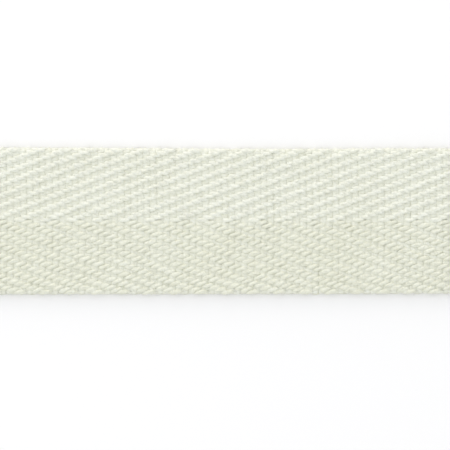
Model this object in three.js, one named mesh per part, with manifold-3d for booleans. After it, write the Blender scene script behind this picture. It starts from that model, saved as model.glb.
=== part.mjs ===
// A cut length of cotton herringbone twill tape, lying flat with its face up.
// Units are millimetres. +X runs along the tape, +Y across it, +Z is up.
// The origin is the middle of the flat underside.

import * as THREE from 'three';
import { mergeVertices } from 'three/addons/utils/BufferGeometryUtils.js';
import Module from 'manifold-3d';

const wasm = await Module();
wasm.setup();

// Driving dimensions of the tape.
const TAPE_LENGTH = 96;
const TAPE_WIDTH = 19;
const TAPE_THICKNESS = 1;

// The weave: lengthwise yarns side by side, crossed by picks of weft.
const WARP_ENDS = 56;
const PICK_SPACING = 0.856;
const PICKS_IN_REPEAT = 4;

// The twill ribs run up to the right in the far half and down to the right in the near half,
// one pick along for each yarn across, and meet half a yarn beyond the middle of the tape.
const END_SPACING = TAPE_WIDTH / WARP_ENDS;
const RIB_SLOPE = END_SPACING / PICK_SPACING;
const RIB_PITCH = PICK_SPACING * PICKS_IN_REPEAT;
const RIB_MEETING_Y = END_SPACING / 2;
const RIB_CREST_X = 0.34;
const RIB_RELIEF = 0.2;

// One rib in section, from crest to crest along the tape.
const RIB_SECTION = [
  { share: 0.0, rise: 1.0 },
  { share: 0.25, rise: 0.75 },
  { share: 0.5, rise: 0.0 },
  { share: 0.75, rise: 0.45 },
];

// The woven edges are rounded: the face ends at a shoulder, the edge bulges at half the thickness.
const SHOULDER_INSET = 0.3;
const SHOULDER_DROP = 0.12;
const UNDERSIDE_INSET = 0.2;

// How far each edge is drawn in along the tape, and how far each rib's turn of weft lets it out.
const EDGE_DRAW_IN = [
  { x: -60, far: 0.05, near: 0.0 },
  { x: -29, far: 0.0, near: 0.0 },
  { x: 6, far: 0.2, near: 0.04 },
  { x: 29, far: 0.15, near: 0.1 },
  { x: 60, far: 0.05, near: 0.0 },
];
const SCALLOP_DEPTH = 0.06;

const ivoryCotton = new THREE.MeshStandardMaterial({ color: 0xe4e6d6, roughness: 0.9, metalness: 0 });

// Smooth blend between the two rows of the edge table on either side of x.
function drawIn(x, side) {
  const column = side > 0 ? 'far' : 'near';
  const next = EDGE_DRAW_IN.findIndex((row) => row.x > x);
  if (next < 0) return EDGE_DRAW_IN.at(-1)[column];
  if (next === 0) return EDGE_DRAW_IN[0][column];
  const before = EDGE_DRAW_IN[next - 1];
  const after = EDGE_DRAW_IN[next];
  const share = THREE.MathUtils.smoothstep(x, before.x, after.x);
  return THREE.MathUtils.lerp(before[column], after[column], share);
}

// Distance of the woven edge from the middle line, for side +1 (far) or -1 (near).
function edgeReach(x, side) {
  const scallop = SCALLOP_DEPTH * (0.5 - 0.5 * Math.cos((2 * Math.PI * x) / RIB_PITCH));
  return TAPE_WIDTH / 2 - drawIn(x, side) - scallop;
}

// Every rib line crosses the tape as a chevron that points to -X.
function chevronX(startX, y) {
  return startX + Math.abs(y - RIB_MEETING_Y) / RIB_SLOPE;
}

// The closed section along one rib line, as points that run once around the tape:
// over the face from far to near, around the near edge, and back along the underside.
function sectionAlongRib(startX, rise) {
  const faceZ = TAPE_THICKNESS - RIB_RELIEF * (1 - rise);
  const at = (y, z) => new THREE.Vector3(chevronX(startX, y), y, z);
  const half = TAPE_WIDTH / 2;
  const far = edgeReach(chevronX(startX, half), 1);
  const near = edgeReach(chevronX(startX, -half), -1);
  return [
    at(far - SHOULDER_INSET, faceZ - SHOULDER_DROP),
    at(far - 2 * SHOULDER_INSET, faceZ),
    at(RIB_MEETING_Y, faceZ),
    at(-near + 2 * SHOULDER_INSET, faceZ),
    at(-near + SHOULDER_INSET, faceZ - SHOULDER_DROP),
    at(-near, TAPE_THICKNESS / 2),
    at(-near + UNDERSIDE_INSET, 0),
    at(RIB_MEETING_Y, 0),
    at(far - UNDERSIDE_INSET, 0),
    at(far, TAPE_THICKNESS / 2),
  ];
}

// Joins the sections into one closed skin, longer than the tape, with chevron ends.
function wovenStrip() {
  const overrun = TAPE_WIDTH / 2 / RIB_SLOPE + RIB_PITCH;
  const firstRib = Math.floor((-TAPE_LENGTH / 2 - overrun) / RIB_PITCH);
  const lastRib = Math.ceil((TAPE_LENGTH / 2 + RIB_PITCH) / RIB_PITCH);
  const sections = [];
  for (let rib = firstRib; rib <= lastRib; rib += 1) {
    for (const { share, rise } of RIB_SECTION) {
      const startX = RIB_CREST_X + (rib + share) * RIB_PITCH;
      sections.push(sectionAlongRib(startX, rise));
    }
  }

  const around = sections[0].length;
  const points = sections.flat().flatMap((point) => point.toArray());
  const faces = [];
  for (let row = 0; row < sections.length - 1; row += 1) {
    for (let place = 0; place < around; place += 1) {
      const a = row * around + place;
      const b = row * around + ((place + 1) % around);
      const c = a + around;
      const d = b + around;
      faces.push(a, b, c, b, d, c);
    }
  }

  // The two chevron ends are closed as quads between the face and the underside.
  const ladder = [
    [0, 9, 8], [1, 0, 8], [2, 1, 8], [2, 8, 7],
    [3, 2, 7], [3, 7, 6], [4, 3, 6], [5, 4, 6],
  ];
  const lastRow = (sections.length - 1) * around;
  for (const [a, b, c] of ladder) {
    faces.push(a, b, c);
    faces.push(lastRow + a, lastRow + c, lastRow + b);
  }

  const strip = new THREE.BufferGeometry();
  strip.setAttribute('position', new THREE.Float32BufferAttribute(points, 3));
  strip.setIndex(faces);
  return strip;
}

function toSolid(geometry) {
  const bare = geometry.clone();
  bare.deleteAttribute('normal');
  bare.deleteAttribute('uv');
  const merged = mergeVertices(bare);
  return new wasm.Manifold(new wasm.Mesh({
    numProp: 3,
    vertProperties: new Float32Array(merged.attributes.position.array),
    triVerts: new Uint32Array(merged.index.array),
  }));
}

function toGeometry(solid) {
  const mesh = solid.getMesh();
  const geometry = new THREE.BufferGeometry();
  geometry.setAttribute('position', new THREE.Float32BufferAttribute(mesh.vertProperties, 3));
  geometry.setIndex(Array.from(mesh.triVerts));
  geometry.computeVertexNormals();
  return geometry;
}

// The strip is cut square across at both ends, as scissors leave it.
function cutTape() {
  const room = 10;
  const cutter = new THREE.BoxGeometry(TAPE_LENGTH, TAPE_WIDTH + room, TAPE_THICKNESS + room);
  const tape = new THREE.Mesh(toGeometry(toSolid(wovenStrip()).intersect(toSolid(cutter))), ivoryCotton);
  tape.name = 'tape';
  return tape;
}

const twillTape = new THREE.Group();
twillTape.add(cutTape());

export default twillTape;
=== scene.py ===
import logging
import math
from dataclasses import dataclass, field
from enum import Enum

import bpy
import numpy as np
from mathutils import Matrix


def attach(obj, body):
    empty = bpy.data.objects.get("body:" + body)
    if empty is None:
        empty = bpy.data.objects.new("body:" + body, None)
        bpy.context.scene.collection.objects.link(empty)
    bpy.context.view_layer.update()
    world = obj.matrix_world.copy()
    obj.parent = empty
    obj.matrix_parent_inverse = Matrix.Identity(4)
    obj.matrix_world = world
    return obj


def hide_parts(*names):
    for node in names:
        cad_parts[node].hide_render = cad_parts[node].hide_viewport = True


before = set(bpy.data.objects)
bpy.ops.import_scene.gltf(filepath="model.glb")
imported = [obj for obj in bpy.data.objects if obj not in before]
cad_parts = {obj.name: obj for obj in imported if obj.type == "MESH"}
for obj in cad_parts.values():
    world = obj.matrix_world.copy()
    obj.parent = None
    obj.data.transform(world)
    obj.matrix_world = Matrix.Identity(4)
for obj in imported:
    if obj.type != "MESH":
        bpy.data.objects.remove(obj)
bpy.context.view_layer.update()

# A cut length of cotton herringbone twill tape, woven end by end and pick by pick.
# Sizes are in millimetres and become metres when a mesh is made.
# +X runs along the tape, +Y across it towards the top of the picture, +Z is up.

BODY = "root"
TAPE_NODE = "tape"
MM = 0.001
YARN_MAP = "yarn"
# Tone values: each yarn's random tone and, on the warp, the painted shade of each half.
TONE_AND_PAINTED_SHADE = "tone"

log = logging.getLogger("twill_tape")


class Layer(Enum):
    """The face of the cloth on which a warp end lies at one pick."""

    FACE = 1
    BACK = -1


class Edge(Enum):
    """One of the two woven edges of the tape."""

    FAR = 1
    NEAR = -1


@dataclass(frozen=True)
class Draft:
    """The herringbone plan: two up, two down, stepping one way and then the other.

    End 0 lies at the far edge. In the far half each end starts its float one pick
    before the end above it, and in the near half one pick after it.
    """

    ends: int = 56
    picks_in_repeat: int = 4
    float_picks: int = 2
    far_first_float: int = 5
    near_first_float: int = -25

    def float_start(self, end: int) -> int:
        """Find the pick at which one of an end's floats starts.

        Args:
            end: Number of the warp end, counted from the far edge.

        Returns:
            The number of the pick.
        """
        if end < self.ends // 2:
            return self.far_first_float - end
        return self.near_first_float + end

    def layer(self, end: int, pick: int) -> Layer:
        """Say on which face an end lies at a pick.

        Args:
            end: Number of the warp end, counted from the far edge.
            pick: Number of the pick, counted along the tape.

        Returns:
            The face of the cloth.
        """
        step = (pick - self.float_start(end)) % self.picks_in_repeat
        return Layer.FACE if step < self.float_picks else Layer.BACK

    def pushed(self, end: int, pick: int) -> int:
        """Say which way the neighbours on the same face push an end.

        Args:
            end: Number of the end from the far edge.
            pick: Number of the pick.

        Returns:
            1 towards the far edge, -1 towards the near edge, or 0.
        """
        here = self.layer(end, pick)
        above = end > 0 and self.layer(end - 1, pick) is here
        below = end < self.ends - 1 and self.layer(end + 1, pick) is here
        return int(below) - int(above)


@dataclass(frozen=True)
class Sett:
    """Where the ends and picks lie in the flat tape.

    The middle of a pick runs ahead of its two edges by the pick's bow. The margin at
    a cut is a share of the pick spacing.
    """

    length: float = 96.0
    width: float = 19.0
    middle_height: float = 0.51
    pick_spacing: float = 0.856
    first_pick_x: float = 1.66
    pick_bow: float = 0.16
    cut_margin: float = 0.5
    edge_table: tuple[tuple[float, float, float], ...] = (
        # x along the tape, far edge drawn in, near edge drawn in
        (-60.0, 0.0, 0.0),
        (-29.0, -0.05, 0.0),
        (6.0, 0.11, 0.04),
        (29.0, 0.06, 0.1),
        (60.0, 0.0, 0.0),
    )
    reed_table: tuple[tuple[float, float], ...] = (
        # end counted from the far edge, how far it lies towards the near edge
        (0.0, -0.08),
        (6.0, -0.15),
        (16.0, -0.17),
        (23.0, -0.15),
        (27.0, -0.09),
        (31.0, 0.07),
        (37.0, 0.23),
        (44.0, 0.31),
        (49.0, 0.27),
        (52.0, 0.1),
        (55.0, -0.14),
    )

    def drawn_in(self, x: np.ndarray, edge: Edge) -> np.ndarray:
        """Blend the edge table smoothly along the tape.

        Args:
            x: Places along the tape.
            edge: The woven edge.

        Returns:
            How far the edge lies inside the full width at each place.
        """
        rows = np.array(self.edge_table)
        column = rows[:, 1] if edge is Edge.FAR else rows[:, 2]
        after = np.clip(np.searchsorted(rows[:, 0], x), 1, len(rows) - 1)
        before = after - 1
        share = np.clip((x - rows[before, 0]) / (rows[after, 0] - rows[before, 0]), 0, 1)
        eased = share * share * (3 - 2 * share)
        return column[before] + (column[after] - column[before]) * eased

    def end_y(self, end: float, ends: int, x: np.ndarray) -> np.ndarray:
        """Find the middle line of a warp end.

        Args:
            end: Number of the end from the far edge, or a place between two ends.
            ends: Number of ends in the tape.
            x: Places along the tape.

        Returns:
            The place across the tape at each x.
        """
        far = self.width / 2 - self.drawn_in(x, Edge.FAR)
        near = self.drawn_in(x, Edge.NEAR) - self.width / 2
        reed = np.array(self.reed_table)
        uneven = float(np.interp(end, reed[:, 0], reed[:, 1]))
        return far + (near - far) * (end + 0.5) / ends - uneven

    def rough_y(self, end: float, ends: int) -> float:
        """Find the place of an end before the edges are drawn in."""
        return self.width / 2 - (end + 0.5) / ends * self.width

    def pick_x(self, pick: float, y: float) -> float:
        """Find where a pick crosses a place across the tape.

        Args:
            pick: Number of the pick, or a place between two picks.
            y: Place across the tape.

        Returns:
            The place along the tape, with the pick's slight bow.
        """
        across = min(abs(y) / (self.width / 2), 1)
        return self.first_pick_x + pick * self.pick_spacing + self.pick_bow * (0.5 - across**2)

    def picks(self) -> range:
        """List the picks that lie inside the cut length.

        Returns:
            The numbers of the picks, along the tape.
        """
        first = math.ceil((-self.length / 2 - self.first_pick_x) / self.pick_spacing + self.cut_margin)
        last = math.floor((self.length / 2 - self.first_pick_x) / self.pick_spacing - self.cut_margin)
        return range(first, last + 1)


@dataclass(frozen=True)
class Yarn:
    """A twisted yarn: its section, its plies and how finely it is modelled.

    The flatness is the section's height as a share of a round yarn's, and its width
    grows as the height shrinks. A crown of 1 gives an oval, and more gives a narrower
    top. The ply ridge is a share of the radius, and one ply turn is a length.
    """

    radius: float
    flatness: float
    crown: float
    ply_ridge: float
    ply_turn: float
    sides: int
    steps_between_knots: int

    def rings(self, path: np.ndarray, swell: np.ndarray, turned: np.ndarray) -> np.ndarray:
        """Set the yarn's two-ridged section at each point of a path.

        Args:
            path: Points of the yarn's middle line, one row each.
            swell: Thickness at each point, as a share of the yarn's own.
            turned: Angle of the plies at each point, in radians.

        Returns:
            One ring of places for each point.
        """
        ahead = np.gradient(path, axis=0)
        ahead /= np.linalg.norm(ahead, axis=1)[:, None]
        side = np.cross((0.0, 0.0, 1.0), ahead)
        side /= np.linalg.norm(side, axis=1)[:, None]
        above = np.cross(ahead, side)
        corner = np.arange(self.sides) * 2 * math.pi / self.sides
        ridge = 1 + self.ply_ridge * np.cos(2 * corner)
        reach = self.radius * swell[:, None] * ridge[None, :]
        angle = corner[None, :] + turned[:, None]
        height = np.sign(np.sin(angle)) * np.abs(np.sin(angle)) ** self.crown
        out_side = (reach * np.cos(angle))[:, :, None] * side[:, None, :] / self.flatness
        out_above = (reach * height)[:, :, None] * above[:, None, :] * self.flatness
        return path[:, None, :] + out_side + out_above


@dataclass
class Strands:
    """Swept yarns gathered into one mesh."""

    vertices: list[np.ndarray] = field(default_factory=list)
    faces: list[list[int]] = field(default_factory=list)
    corners: list[np.ndarray] = field(default_factory=list)
    tones: list[np.ndarray] = field(default_factory=list)
    count: int = 0

    def sweep(
        self, knots: np.ndarray, yarn: Yarn, turn_start: float, swell: np.ndarray, tone: np.ndarray
    ) -> None:
        """Sweep a yarn's section along a smooth path through the knots.

        Args:
            knots: Places that the yarn's middle passes through, one row each.
            yarn: The yarn's sizes.
            turn_start: Angle of the plies at the first knot, in radians.
            swell: Thickness at each knot, as a share of the yarn's own.
            tone: Shade at each knot, about -1 to 1.
        """
        path = smooth_path(knots, yarn.steps_between_knots)
        place = np.linspace(0, len(knots) - 1, len(path))
        swell_here = np.interp(place, np.arange(len(knots)), swell)
        tone_here = np.interp(place, np.arange(len(knots)), tone)
        steps = np.linalg.norm(np.diff(path, axis=0), axis=1)
        along = np.concatenate(([0.0], np.cumsum(steps)))
        turned = turn_start - 2 * math.pi * along / yarn.ply_turn
        rings = yarn.rings(path, swell_here, turned)
        # A yarn flattens where it rests on the surface below.
        rings[:, :, 2] = np.maximum(rings[:, :, 2], 0.0)

        self.join_rings(len(path), yarn.sides)
        self.unroll(along, yarn.sides)
        self.vertices.append(rings.reshape(-1, 3))
        self.tones.append(tone_here.repeat(yarn.sides))
        self.count += len(path) * yarn.sides

    def join_rings(self, rings: int, sides: int) -> None:
        """Join each ring of a new yarn to the next one, and close both ends.

        Args:
            rings: Number of rings.
            sides: Number of places in a ring.
        """
        around = self.count + np.arange(sides)
        beyond = self.count + (np.arange(sides) + 1) % sides
        start = np.arange(rings - 1)[:, None] * sides
        quads = np.stack(
            (start + around, start + beyond, start + sides + beyond, start + sides + around), axis=-1
        )
        self.faces.extend(quads.reshape(-1, 4).tolist())
        start_cap = around.tolist()
        end_cap = ((rings - 1) * sides + around).tolist()
        self.faces.extend((start_cap[::-1], end_cap))

    def unroll(self, along: np.ndarray, sides: int) -> None:
        """Lay a new yarn's skin out flat, for the fibres that run along it.

        Args:
            along: Distance of each ring from the yarn's start.
            sides: Number of places in a ring.
        """
        low = along[:-1, None].repeat(sides, axis=1)
        high = along[1:, None].repeat(sides, axis=1)
        left = (np.arange(sides) / sides)[None, :].repeat(len(along) - 1, axis=0)
        right = left + 1 / sides
        uv = np.stack((low, left, low, right, high, right, high, left), axis=-1)
        self.corners.append(uv.reshape(-1, 2))
        self.corners.append(np.zeros((2 * sides, 2)))

    def make(self, name: str) -> bpy.types.Object:
        """Turn the gathered yarns into one smooth-shaded object.

        Args:
            name: Name of the piece.

        Returns:
            The new object, at the origin.
        """
        mesh = bpy.data.meshes.new(name)
        mesh.from_pydata((np.concatenate(self.vertices) * MM).tolist(), [], self.faces)
        uv_map = mesh.uv_layers.new(name=YARN_MAP)
        uv_map.data.foreach_set("uv", np.concatenate(self.corners).ravel())
        tone = mesh.attributes.new(TONE_AND_PAINTED_SHADE, "FLOAT", "POINT")
        tone.data.foreach_set("value", np.concatenate(self.tones))
        mesh.shade_smooth()
        mesh.update()
        piece = bpy.data.objects.new(name, mesh)
        bpy.context.collection.objects.link(piece)
        return piece


def smooth_path(knots: np.ndarray, steps: int) -> np.ndarray:
    """Run a smooth curve through every knot.

    Args:
        knots: Places to pass through, one row each.
        steps: Number of steps from each knot to the next.

    Returns:
        The points of the curve, the first and last knot included.
    """
    before_first = 2 * knots[:1] - knots[1:2]
    after_last = 2 * knots[-1:] - knots[-2:-1]
    padded = np.concatenate((before_first, knots, after_last))
    spans = len(knots) - 1
    before, here, after, beyond = (padded[skip : skip + spans, None, :] for skip in range(4))
    share = (np.arange(steps) / steps)[None, :, None]
    curve = 0.5 * (
        2 * here
        + (after - before) * share
        + (2 * before - 5 * here + 4 * after - beyond) * share**2
        + (3 * here - before - 3 * after + beyond) * share**3
    )
    return np.concatenate((curve.reshape(-1, 3), knots[-1:]))


def wander(count: int, keep: float, rng: np.random.Generator) -> np.ndarray:
    """Draw an uneven line that strays slowly to both sides of zero.

    Args:
        count: Number of values.
        keep: Share of each value that the next one keeps, from 0 to 1.
        rng: Source of the unevenness.

    Returns:
        The values, mostly between -2 and 2.
    """
    fresh = rng.normal(0, 1, count)
    line = np.empty(count)
    line[0] = fresh[0]
    for number in range(1, count):
        line[number] = keep * line[number - 1] + math.sqrt(1 - keep**2) * fresh[number]
    return line


def noise(
    tree: bpy.types.NodeTree, place: bpy.types.NodeSocket, detail: float, scale: float = 1.0
) -> bpy.types.NodeSocket:
    """Add a noise texture to a material.

    Args:
        tree: The material's nodes.
        place: Socket that gives the place on the yarn.
        detail: How many finer layers the noise has.
        scale: How fine its first layer is.

    Returns:
        The socket with the noise, about 0 to 1.
    """
    node = tree.nodes.new("ShaderNodeTexNoise")
    node.inputs["Scale"].default_value = scale
    node.inputs["Detail"].default_value = detail
    tree.links.new(place, node.inputs["Vector"])
    return node.outputs["Fac"]


def weighed(
    tree: bpy.types.NodeTree,
    value: bpy.types.NodeSocket,
    weight: float,
    base: bpy.types.NodeSocket | None = None,
) -> bpy.types.NodeSocket:
    """Multiply a value by a weight, and add it to another one if that is given.

    Args:
        tree: The material's nodes.
        value: Socket with the value.
        weight: What it is multiplied by.
        base: Socket with the value that it is added to.

    Returns:
        The socket with the result.
    """
    node = tree.nodes.new("ShaderNodeMath")
    node.operation = "MULTIPLY" if base is None else "MULTIPLY_ADD"
    node.inputs[1].default_value = weight
    tree.links.new(value, node.inputs[0])
    if base is not None:
        tree.links.new(base, node.inputs[2])
    return node.outputs["Value"]


@dataclass(frozen=True)
class CottonFinish:
    """Matt cotton yarn with fine fibres that run along it.

    Fibres, patches and the tone values each have a share in the shade, which
    runs from the pale colour to the deep one. The tone values hold the yarn's own
    random tone and, on the warp, the painted shade of each half of the tape.
    """

    name: str
    pale: tuple[float, float, float]
    deep: tuple[float, float, float]
    pale_until: float = 0.3
    deep_from: float = 0.95
    fibre_grain: tuple[float, float, float] = (4.5, 7.5, 1.0)
    patch_grain: float = 90.0
    grain_detail: float = 2.0
    fibre_bump: float = 1.0
    fibre_depth: float = 0.18
    fibre_share: float = 1.0
    patch_share: float = 0.25
    tone_and_painted_shade_share: float = 0.18
    roughness: float = 0.6
    gloss: float = 0.6
    fibre_gloss: float = 0.48
    sheen: float = 0.06
    sheen_roughness: float = 0.5
    glow_through: float = 0.11
    glow_reach: float = 0.2
    glow_tint: tuple[float, float, float] = (1.0, 0.95, 0.85)

    def material(self) -> bpy.types.Material:
        """Build the node material.

        Returns:
            The finished cotton material.
        """
        made = bpy.data.materials.new(self.name)
        made.use_nodes = True
        tree = made.node_tree
        shader = tree.nodes["Principled BSDF"]
        shader.inputs["Roughness"].default_value = self.roughness
        shader.inputs["Sheen Weight"].default_value = self.sheen
        shader.inputs["Sheen Roughness"].default_value = self.sheen_roughness
        shader.inputs["Specular IOR Level"].default_value = self.gloss
        shader.inputs["Anisotropic"].default_value = self.fibre_gloss
        shader.inputs["Subsurface Weight"].default_value = self.glow_through
        shader.inputs["Subsurface Radius"].default_value = self.glow_tint
        shader.inputs["Subsurface Scale"].default_value = self.glow_reach * MM

        uv = tree.nodes.new("ShaderNodeUVMap")
        uv.uv_map = YARN_MAP
        stretch = tree.nodes.new("ShaderNodeMapping")
        stretch.inputs["Scale"].default_value = self.fibre_grain
        tree.links.new(uv.outputs["UV"], stretch.inputs["Vector"])
        fibres = noise(tree, stretch.outputs["Vector"], self.grain_detail)
        place = tree.nodes.new("ShaderNodeTexCoord")
        patches = noise(tree, place.outputs["Object"], self.grain_detail, self.patch_grain)
        # The tone values bring in random tone and the warp's painted half shade.
        tone = tree.nodes.new("ShaderNodeAttribute")
        tone.attribute_name = TONE_AND_PAINTED_SHADE
        shade = weighed(tree, patches, self.patch_share)
        shade = weighed(tree, fibres, self.fibre_share, shade)
        shade = weighed(tree, tone.outputs["Fac"], self.tone_and_painted_shade_share, shade)
        ramp = tree.nodes.new("ShaderNodeValToRGB")
        for stop, position, colour in zip(
            ramp.color_ramp.elements, (self.pale_until, self.deep_from), (self.pale, self.deep)
        ):
            stop.position = position
            stop.color = (*colour, 1.0)
        tree.links.new(shade, ramp.inputs["Fac"])
        tree.links.new(ramp.outputs["Color"], shader.inputs["Base Color"])

        tangent = tree.nodes.new("ShaderNodeTangent")
        tangent.direction_type = "UV_MAP"
        tangent.uv_map = YARN_MAP
        tree.links.new(tangent.outputs["Tangent"], shader.inputs["Tangent"])
        bump = tree.nodes.new("ShaderNodeBump")
        bump.inputs["Strength"].default_value = self.fibre_bump
        bump.inputs["Distance"].default_value = self.fibre_depth * MM
        tree.links.new(fibres, bump.inputs["Height"])
        tree.links.new(bump.outputs["Normal"], shader.inputs["Normal"])
        return made


@dataclass
class Warp:
    """The lengthwise ends, over and under the picks.

    Between two picks an end that changes face sags a little. Neighbours on the same
    face push each end aside. The near half is painted deeper, as painted shade, and
    the far half paler, as painted sheen.
    """

    draft: Draft
    sett: Sett
    finish: CottonFinish
    yarn: Yarn = Yarn(
        radius=0.228,
        flatness=0.744,
        crown=1.6,
        ply_ridge=0.13,
        ply_turn=2.9,
        sides=12,
        steps_between_knots=2,
    )
    face_rise: float = 0.228
    back_drop: float = 0.27
    slope_sag: float = 0.05
    far_half_push: float = 0.005
    near_half_push: float = 0.086
    groups: int = 4
    cut_unevenness: float = 0.18
    height_left_at_cut: float = 1 / 3
    height_jitter: float = 0.01
    side_jitter: float = 0.01
    swelling: float = 0.04
    swell_keep: float = 0.6
    tone_spread: float = 0.25
    # Painted shade and painted sheen: how far the two halves are painted deeper or paler.
    painted_half_shade: float = 0.7
    seed: int = 7

    def knots(self, end: int, rng: np.random.Generator) -> np.ndarray:
        """Find the places that one end passes through.

        Args:
            end: Number of the end from the far edge.
            rng: Source of the small unevenness.

        Returns:
            One row for each pick, one between each two picks, and one for each cut end.
        """
        sett = self.sett
        rough_y = sett.rough_y(end, self.draft.ends)
        picks = sett.picks()
        x = np.array([sett.pick_x(pick, rough_y) for pick in picks])
        layers = np.array([self.draft.layer(end, pick).value for pick in picks])
        push = np.array([self.draft.pushed(end, pick) for pick in picks])
        side_push = self.far_half_push if end < self.draft.ends // 2 else self.near_half_push
        y = sett.end_y(end, self.draft.ends, x) + push * side_push
        z = sett.middle_height + np.where(layers > 0, self.face_rise, -self.back_drop)
        y += rng.normal(0, self.side_jitter, len(x))
        z += rng.normal(0, self.height_jitter, len(x))
        at_picks = np.stack((x, y, z), axis=-1)
        between = (at_picks[:-1] + at_picks[1:]) / 2
        between[:, 2] -= self.slope_sag * (layers[:-1] != layers[1:])
        body = np.empty((2 * len(x) - 1, 3))
        body[::2] = at_picks
        body[1::2] = between
        cut = rng.uniform(-self.cut_unevenness, self.cut_unevenness, 2)
        low_z, high_z = sett.middle_height + (z[[0, -1]] - sett.middle_height) * self.height_left_at_cut
        low = np.array([[-sett.length / 2 + cut[0], y[0], low_z]])
        high = np.array([[sett.length / 2 + cut[1], y[-1], high_z]])
        return np.concatenate((low, body, high))

    def build(self) -> list[bpy.types.Object]:
        """Model all the ends, in a few pieces.

        Returns:
            The pieces, from the far edge to the near one.
        """
        rng = np.random.default_rng(self.seed)
        material = self.finish.material()
        pieces = []
        for group, ends in enumerate(np.array_split(np.arange(self.draft.ends), self.groups)):
            strands = Strands()
            for end in ends.tolist():
                knots = self.knots(end, rng)
                swell = 1 + self.swelling * wander(len(knots), self.swell_keep, rng)
                # Painted shade and painted sheen: near-half ends are painted deeper, far-half ends
                # paler.
                painted_shade_of_half = self.painted_half_shade if end >= self.draft.ends // 2 else -self.painted_half_shade
                tone = painted_shade_of_half + self.tone_spread * wander(len(knots), self.swell_keep, rng)
                strands.sweep(knots, self.yarn, rng.uniform(0, 2 * math.pi), swell, tone)
            piece = strands.make(f"warp_ends_{group + 1}")
            piece.data.materials.append(material)
            pieces.append(piece)
        return pieces


@dataclass
class Weft:
    """The one crosswise yarn, which turns back round the edge end after each pick."""

    draft: Draft
    sett: Sett
    finish: CottonFinish
    yarn: Yarn = Yarn(
        radius=0.275,
        flatness=0.52,
        crown=1.0,
        ply_ridge=0.04,
        ply_turn=2.6,
        sides=8,
        steps_between_knots=2,
    )
    dip: float = 0.061
    turn_reach: float = 0.05
    turn_swell: float = 0.5
    turn_steps: tuple[tuple[float, float], ...] = (
        # share of the way to the next pick, share of the reach
        (0.12, 0.8),
        (0.5, 1.0),
        (0.88, 0.8),
    )
    side_jitter: float = 0.025
    swelling: float = 0.05
    swell_keep: float = 0.9
    tone_spread: float = 0.25
    pieces: int = 2
    seed: int = 11

    def crossing(self, end: int, pick: int, shift: float) -> list[float]:
        """Find where the weft crosses one end.

        Args:
            end: Number of the warp end.
            pick: Number of the pick.
            shift: How far this pick lies out of its place, along the tape.

        Returns:
            The place as x, y and z.
        """
        sett = self.sett
        x = sett.pick_x(pick, sett.rough_y(end, self.draft.ends)) + shift
        y = float(sett.end_y(end, self.draft.ends, np.array([x]))[0])
        z = sett.middle_height - self.draft.layer(end, pick).value * self.dip
        return [x, y, z]

    def turn(self, pick: int, edge: Edge) -> list[list[float]]:
        """Carry the weft round the edge end from one pick to the next.

        Args:
            pick: Number of the pick that arrives at the edge.
            edge: The woven edge.

        Returns:
            The places on the turn.
        """
        sett = self.sett
        end = 0 if edge is Edge.FAR else self.draft.ends - 1
        arriving = self.draft.layer(end, pick).value
        leaving = self.draft.layer(end, pick + 1).value
        places = []
        for share, reach in self.turn_steps:
            x = sett.pick_x(pick + share, sett.width / 2)
            y = float(sett.end_y(end, self.draft.ends, np.array([x]))[0])
            layer = arriving + (leaving - arriving) * share
            z = sett.middle_height - layer * self.dip
            places.append([x, y + edge.value * self.turn_reach * reach, z])
        return places

    def build(self) -> list[bpy.types.Object]:
        """Model the weft, in a few pieces that meet at a turn.

        Returns:
            The pieces, along the tape.
        """
        rng = np.random.default_rng(self.seed)
        material = self.finish.material()
        made = []
        for number, picks in enumerate(np.array_split(np.array(self.sett.picks()), self.pieces)):
            knots = []
            tight = []
            for pick in picks.tolist():
                edge = Edge.FAR if pick % 2 == 0 else Edge.NEAR
                ends = range(self.draft.ends)
                if edge is Edge.FAR:
                    ends = reversed(ends)
                shift = rng.normal(0, self.side_jitter)
                knots.extend(self.crossing(end, pick, shift) for end in ends)
                turn = self.turn(pick, edge)
                knots.extend(turn)
                tight.extend([1.0] * self.draft.ends + [self.turn_swell] * len(turn))
            strands = Strands()
            swell = np.array(tight) * (1 + self.swelling * wander(len(knots), self.swell_keep, rng))
            tone = self.tone_spread * wander(len(knots), self.swell_keep, rng)
            strands.sweep(np.array(knots), self.yarn, 0.0, swell, tone)
            piece = strands.make(f"weft_picks_{number + 1}")
            piece.data.materials.append(material)
            made.append(piece)
        return made


@dataclass
class Core:
    """The dense middle of the cloth, where the yarns press together."""

    sett: Sett
    finish: CottonFinish
    inset: float = 0.35
    thickness: float = 0.1
    rounding: float = 0.03
    rounding_steps: int = 2

    def build(self) -> bpy.types.Object:
        """Model the middle as one thin closed sheet.

        Returns:
            The sheet.
        """
        clear_selection()
        bpy.ops.mesh.primitive_plane_add(size=1)
        sheet = bpy.context.object
        sheet.name = "cloth_middle"
        length = (self.sett.length - 2 * self.inset) * MM
        width = (self.sett.width - 2 * self.inset) * MM
        bpy.ops.object.mode_set(mode="EDIT")
        bpy.ops.transform.resize(value=(length, width, 1))
        lift = (self.sett.middle_height - self.thickness / 2) * MM
        bpy.ops.transform.translate(value=(0, 0, lift))
        bpy.ops.mesh.extrude_region_move(TRANSFORM_OT_translate={"value": (0, 0, self.thickness * MM)})
        bpy.ops.mesh.select_all(action="SELECT")
        bpy.ops.mesh.normals_make_consistent(inside=False)
        bpy.ops.mesh.bevel(offset=self.rounding * MM, segments=self.rounding_steps)
        bpy.ops.object.mode_set(mode="OBJECT")
        # Its finish is darker cotton: painted shade for the shaded inside of the cloth.
        sheet.data.materials.append(self.finish.material())
        return sheet


def clear_selection() -> None:
    """Deselect everything, so that an operator acts on the new piece alone."""
    for thing in list(bpy.context.selected_objects):
        thing.select_set(False)


@dataclass(frozen=True)
class Fuzz:
    """How many fibres one part of the tape has, and how they stand there.

    The turn is how far their headings spread, and the climb and the length are each
    drawn between two limits.
    """

    count: int
    turn: float
    climb: tuple[float, float]
    length: tuple[float, float]


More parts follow.
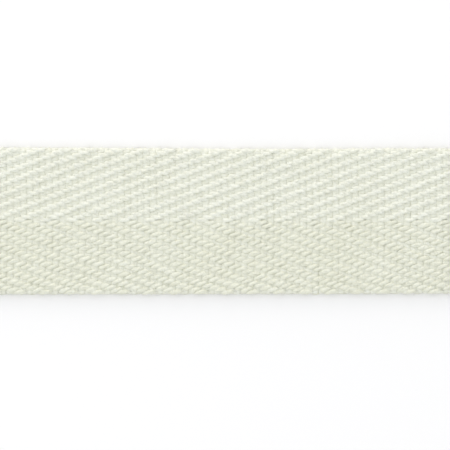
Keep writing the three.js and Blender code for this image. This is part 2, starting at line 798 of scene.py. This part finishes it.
@dataclass
class LooseFibres:
    """Short cotton fibres that stand out a little from the yarns.

    On the face their roots lie along the crest span, a part of a float in picks.
    """

    draft: Draft
    sett: Sett
    finish: CottonFinish
    fibre: Yarn = Yarn(
        radius=0.009,
        flatness=1.0,
        crown=1.0,
        ply_ridge=0.0,
        ply_turn=60.0,
        sides=3,
        steps_between_knots=1,
    )
    steps: int = 6
    bend_spread: float = 0.22
    droop: float = 0.12
    droop_spread: float = 0.06
    face: Fuzz = Fuzz(count=2000, turn=0.6, climb=(0.0, 0.35), length=(0.3, 0.9))
    crest_height: float = 0.89
    crest_span: tuple[float, float] = (0.2, 0.8)
    edge: Fuzz = Fuzz(count=150, turn=0.8, climb=(-0.3, 0.3), length=(0.2, 0.6))
    edge_reach: float = 0.2
    edge_height: float = 0.2
    cut: Fuzz = Fuzz(count=170, turn=0.35, climb=(-0.2, 0.2), length=(0.4, 1.2))
    cut_depth: float = 0.2
    cut_side: float = 0.08
    cut_height: float = 0.12
    seed: int = 23

    def curl(
        self,
        start: tuple[float, float, float],
        heading: float,
        climb: float,
        length: float,
        rng: np.random.Generator,
    ) -> np.ndarray:
        """Lay out one bent fibre.

        Args:
            start: Place of its root on a yarn.
            heading: Direction seen from above, in radians from +X.
            climb: How steeply it leaves the yarn, in radians.
            length: Length of the fibre.
            rng: Source of the bends.

        Returns:
            The places that the fibre passes through.
        """
        bend = rng.normal(0, self.bend_spread)
        droop = rng.normal(-self.droop, self.droop_spread)
        step = length / self.steps
        place = np.array(start)
        places = [place]
        for _ in range(self.steps):
            level = math.cos(climb)
            place = place + step * np.array(
                (math.cos(heading) * level, math.sin(heading) * level, math.sin(climb))
            )
            place[2] = max(place[2], 2 * self.fibre.radius)
            places.append(place)
            heading += bend
            climb += droop
        return np.array(places)

    def on_floats(self, rng: np.random.Generator) -> list[np.ndarray]:
        """Root fibres on the crests of floats chosen at random.

        Args:
            rng: Source of the choices.

        Returns:
            The places of each fibre.
        """
        picks = self.sett.picks()
        in_repeat = self.draft.picks_in_repeat
        routes = []
        for _ in range(self.face.count):
            end = int(rng.integers(self.draft.ends))
            repeat = int(rng.integers(len(picks) // in_repeat))
            offset = (self.draft.float_start(end) - picks.start) % in_repeat
            pick = picks.start + offset + repeat * in_repeat
            rough_y = self.sett.rough_y(end, self.draft.ends)
            x = self.sett.pick_x(pick + rng.uniform(*self.crest_span), rough_y)
            y = float(self.sett.end_y(end, self.draft.ends, np.array([x]))[0])
            heading = rng.normal(0, self.face.turn) + math.pi * int(rng.integers(2))
            length = rng.uniform(*self.face.length)
            climb = rng.uniform(*self.face.climb)
            routes.append(self.curl((x, y, self.crest_height), heading, climb, length, rng))
        return routes

    def on_edges(self, rng: np.random.Generator) -> list[np.ndarray]:
        """Root fibres along both woven edges.

        Args:
            rng: Source of the choices.

        Returns:
            The places of each fibre.
        """
        half = self.sett.length / 2
        routes = []
        for edge, end in ((Edge.FAR, 0), (Edge.NEAR, self.draft.ends - 1)):
            for x in rng.uniform(-half, half, self.edge.count):
                y = float(self.sett.end_y(end, self.draft.ends, np.array([x]))[0])
                z = self.sett.middle_height + rng.uniform(-self.edge_height, self.edge_height)
                heading = edge.value * math.pi / 2 + rng.normal(0, self.edge.turn)
                climb = rng.uniform(*self.edge.climb)
                length = rng.uniform(*self.edge.length)
                start = (x, y + edge.value * self.edge_reach, z)
                routes.append(self.curl(start, heading, climb, length, rng))
        return routes

    def at_cuts(self, rng: np.random.Generator) -> list[np.ndarray]:
        """Root fibres in the cut ends of the warp.

        Args:
            rng: Source of the choices.

        Returns:
            The places of each fibre.
        """
        routes = []
        for side in (-1, 1):
            outward = 0.0 if side > 0 else math.pi
            for _ in range(self.cut.count):
                end = int(rng.integers(self.draft.ends))
                x = side * self.sett.length / 2
                y = float(self.sett.end_y(end, self.draft.ends, np.array([x]))[0])
                y += rng.normal(0, self.cut_side)
                z = self.sett.middle_height + rng.uniform(-self.cut_height, self.cut_height)
                heading = outward + rng.normal(0, self.cut.turn)
                climb = rng.uniform(*self.cut.climb)
                length = rng.uniform(*self.cut.length)
                routes.append(self.curl((x - side * self.cut_depth, y, z), heading, climb, length, rng))
        return routes

    def build(self) -> bpy.types.Object:
        """Model all the loose fibres as one piece.

        Returns:
            The piece.
        """
        rng = np.random.default_rng(self.seed)
        strands = Strands()
        even = np.ones(self.steps + 1)
        plain = np.zeros(self.steps + 1)
        for route in (*self.on_floats(rng), *self.on_edges(rng), *self.at_cuts(rng)):
            strands.sweep(route, self.fibre, 0.0, even, plain)
        piece = strands.make("loose_fibres")
        piece.data.materials.append(self.finish.material())
        return piece


@dataclass(frozen=True)
class SoftLight:
    """A rectangular light that faces the tape from one side.

    Its length, height and distance are in metres, and its elevation and azimuth in
    degrees, the azimuth turning from the far side towards the left.
    """

    name: str
    energy: float
    length: float
    height: float
    elevation: float
    azimuth: float
    colour: tuple[float, float, float] = (1.0, 0.94, 0.92)
    distance: float = 0.5

    def hang(self) -> None:
        """Hang the light, which the camera itself doesn't see."""
        data = bpy.data.lights.new(self.name, "AREA")
        data.shape = "RECTANGLE"
        data.size = self.length
        data.size_y = self.height
        data.energy = self.energy
        data.color = self.colour
        lamp = bpy.data.objects.new(self.name, data)
        rise = math.radians(self.elevation)
        turn = math.radians(self.azimuth)
        level = self.distance * math.cos(rise)
        lamp.location = (-level * math.sin(turn), level * math.cos(turn), self.distance * math.sin(rise))
        lamp.rotation_euler = (rise - math.pi / 2, 0, turn)
        lamp.visible_camera = False
        bpy.context.collection.objects.link(lamp)


@dataclass
class Studio:
    """The camera, the pale floor and the soft light."""

    view_width: float = 59.2
    view_middle_y: float = -0.414
    face_height: float = 0.9
    lens: float = 300.0
    sensor: float = 36.0
    nearest_seen: float = 10.0
    farthest_seen: float = 10000.0
    floor_side: float = 1600.0
    floor_white: tuple[float, float, float] = (0.938, 0.928, 0.91)
    floor_roughness: float = 0.9
    sky_colour: tuple[float, float, float] = (0.98, 1.0, 1.03)
    sky_strength: float = 0.965
    lights: tuple[SoftLight, ...] = (
        SoftLight("key", energy=0.48, length=0.88, height=0.31, elevation=31.6, azimuth=68.0),
        SoftLight("low_fill", energy=0.86, length=0.6, height=0.2, elevation=12.5, azimuth=7.0),
    )

    def place_camera(self) -> None:
        """Set the camera straight above the tape."""
        data = bpy.data.cameras.new("camera")
        data.sensor_width = self.sensor
        data.lens = self.lens
        camera = bpy.data.objects.new("camera", data)
        distance = self.view_width * self.lens / self.sensor
        camera.location = (0, self.view_middle_y * MM, (self.face_height + distance) * MM)
        data.clip_start = self.nearest_seen * MM
        data.clip_end = self.farthest_seen * MM
        bpy.context.collection.objects.link(camera)
        bpy.context.scene.camera = camera

    def lay_floor(self) -> None:
        """Lay the plain white surface under the tape."""
        clear_selection()
        bpy.ops.mesh.primitive_plane_add(size=self.floor_side * MM, location=(0, 0, 0))
        floor = bpy.context.object
        floor.name = "floor"
        white = bpy.data.materials.new("white_board")
        white.use_nodes = True
        shader = white.node_tree.nodes["Principled BSDF"]
        shader.inputs["Base Color"].default_value = (*self.floor_white, 1.0)
        shader.inputs["Roughness"].default_value = self.floor_roughness
        floor.data.materials.append(white)

    def hang_lights(self) -> None:
        """Light the tape with a pale sky and the soft lights."""
        world = bpy.data.worlds.new("sky")
        world.use_nodes = True
        sky = world.node_tree.nodes["Background"]
        sky.inputs["Color"].default_value = (*self.sky_colour, 1.0)
        sky.inputs["Strength"].default_value = self.sky_strength
        bpy.context.scene.world = world
        for light in self.lights:
            light.hang()

    def build(self) -> None:
        """Set up the whole studio."""
        self.place_camera()
        self.lay_floor()
        self.hang_lights()
        bpy.context.scene.view_settings.view_transform = "Standard"


def main() -> None:
    """Build the studio and the tape, and tie each piece to the frame."""
    logging.basicConfig(level=logging.INFO, format="%(message)s")
    Studio().build()
    draft = Draft()
    sett = Sett()
    ivory = CottonFinish("ivory_yarn", pale=(0.88, 0.889, 0.784), deep=(0.78, 0.779, 0.628))
    # Painted shade: the middle's colours are darker than the yarn's, for the shaded inside seen through
    # gaps.
    inner_painted_shade = CottonFinish("inner_cotton_painted_shade", pale=(0.76, 0.77, 0.67), deep=(0.68, 0.69, 0.56))

    core = Core(sett, inner_painted_shade).build()
    warp = Warp(draft, sett, ivory).build()
    weft = Weft(draft, sett, ivory).build()
    fibres = LooseFibres(draft, sett, ivory).build()
    for piece in (core, *warp, *weft, fibres):
        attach(piece, BODY)
        log.info("%s: %d faces", piece.name, len(piece.data.polygons))
    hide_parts(TAPE_NODE)


if __name__ == "__main__":
    main()
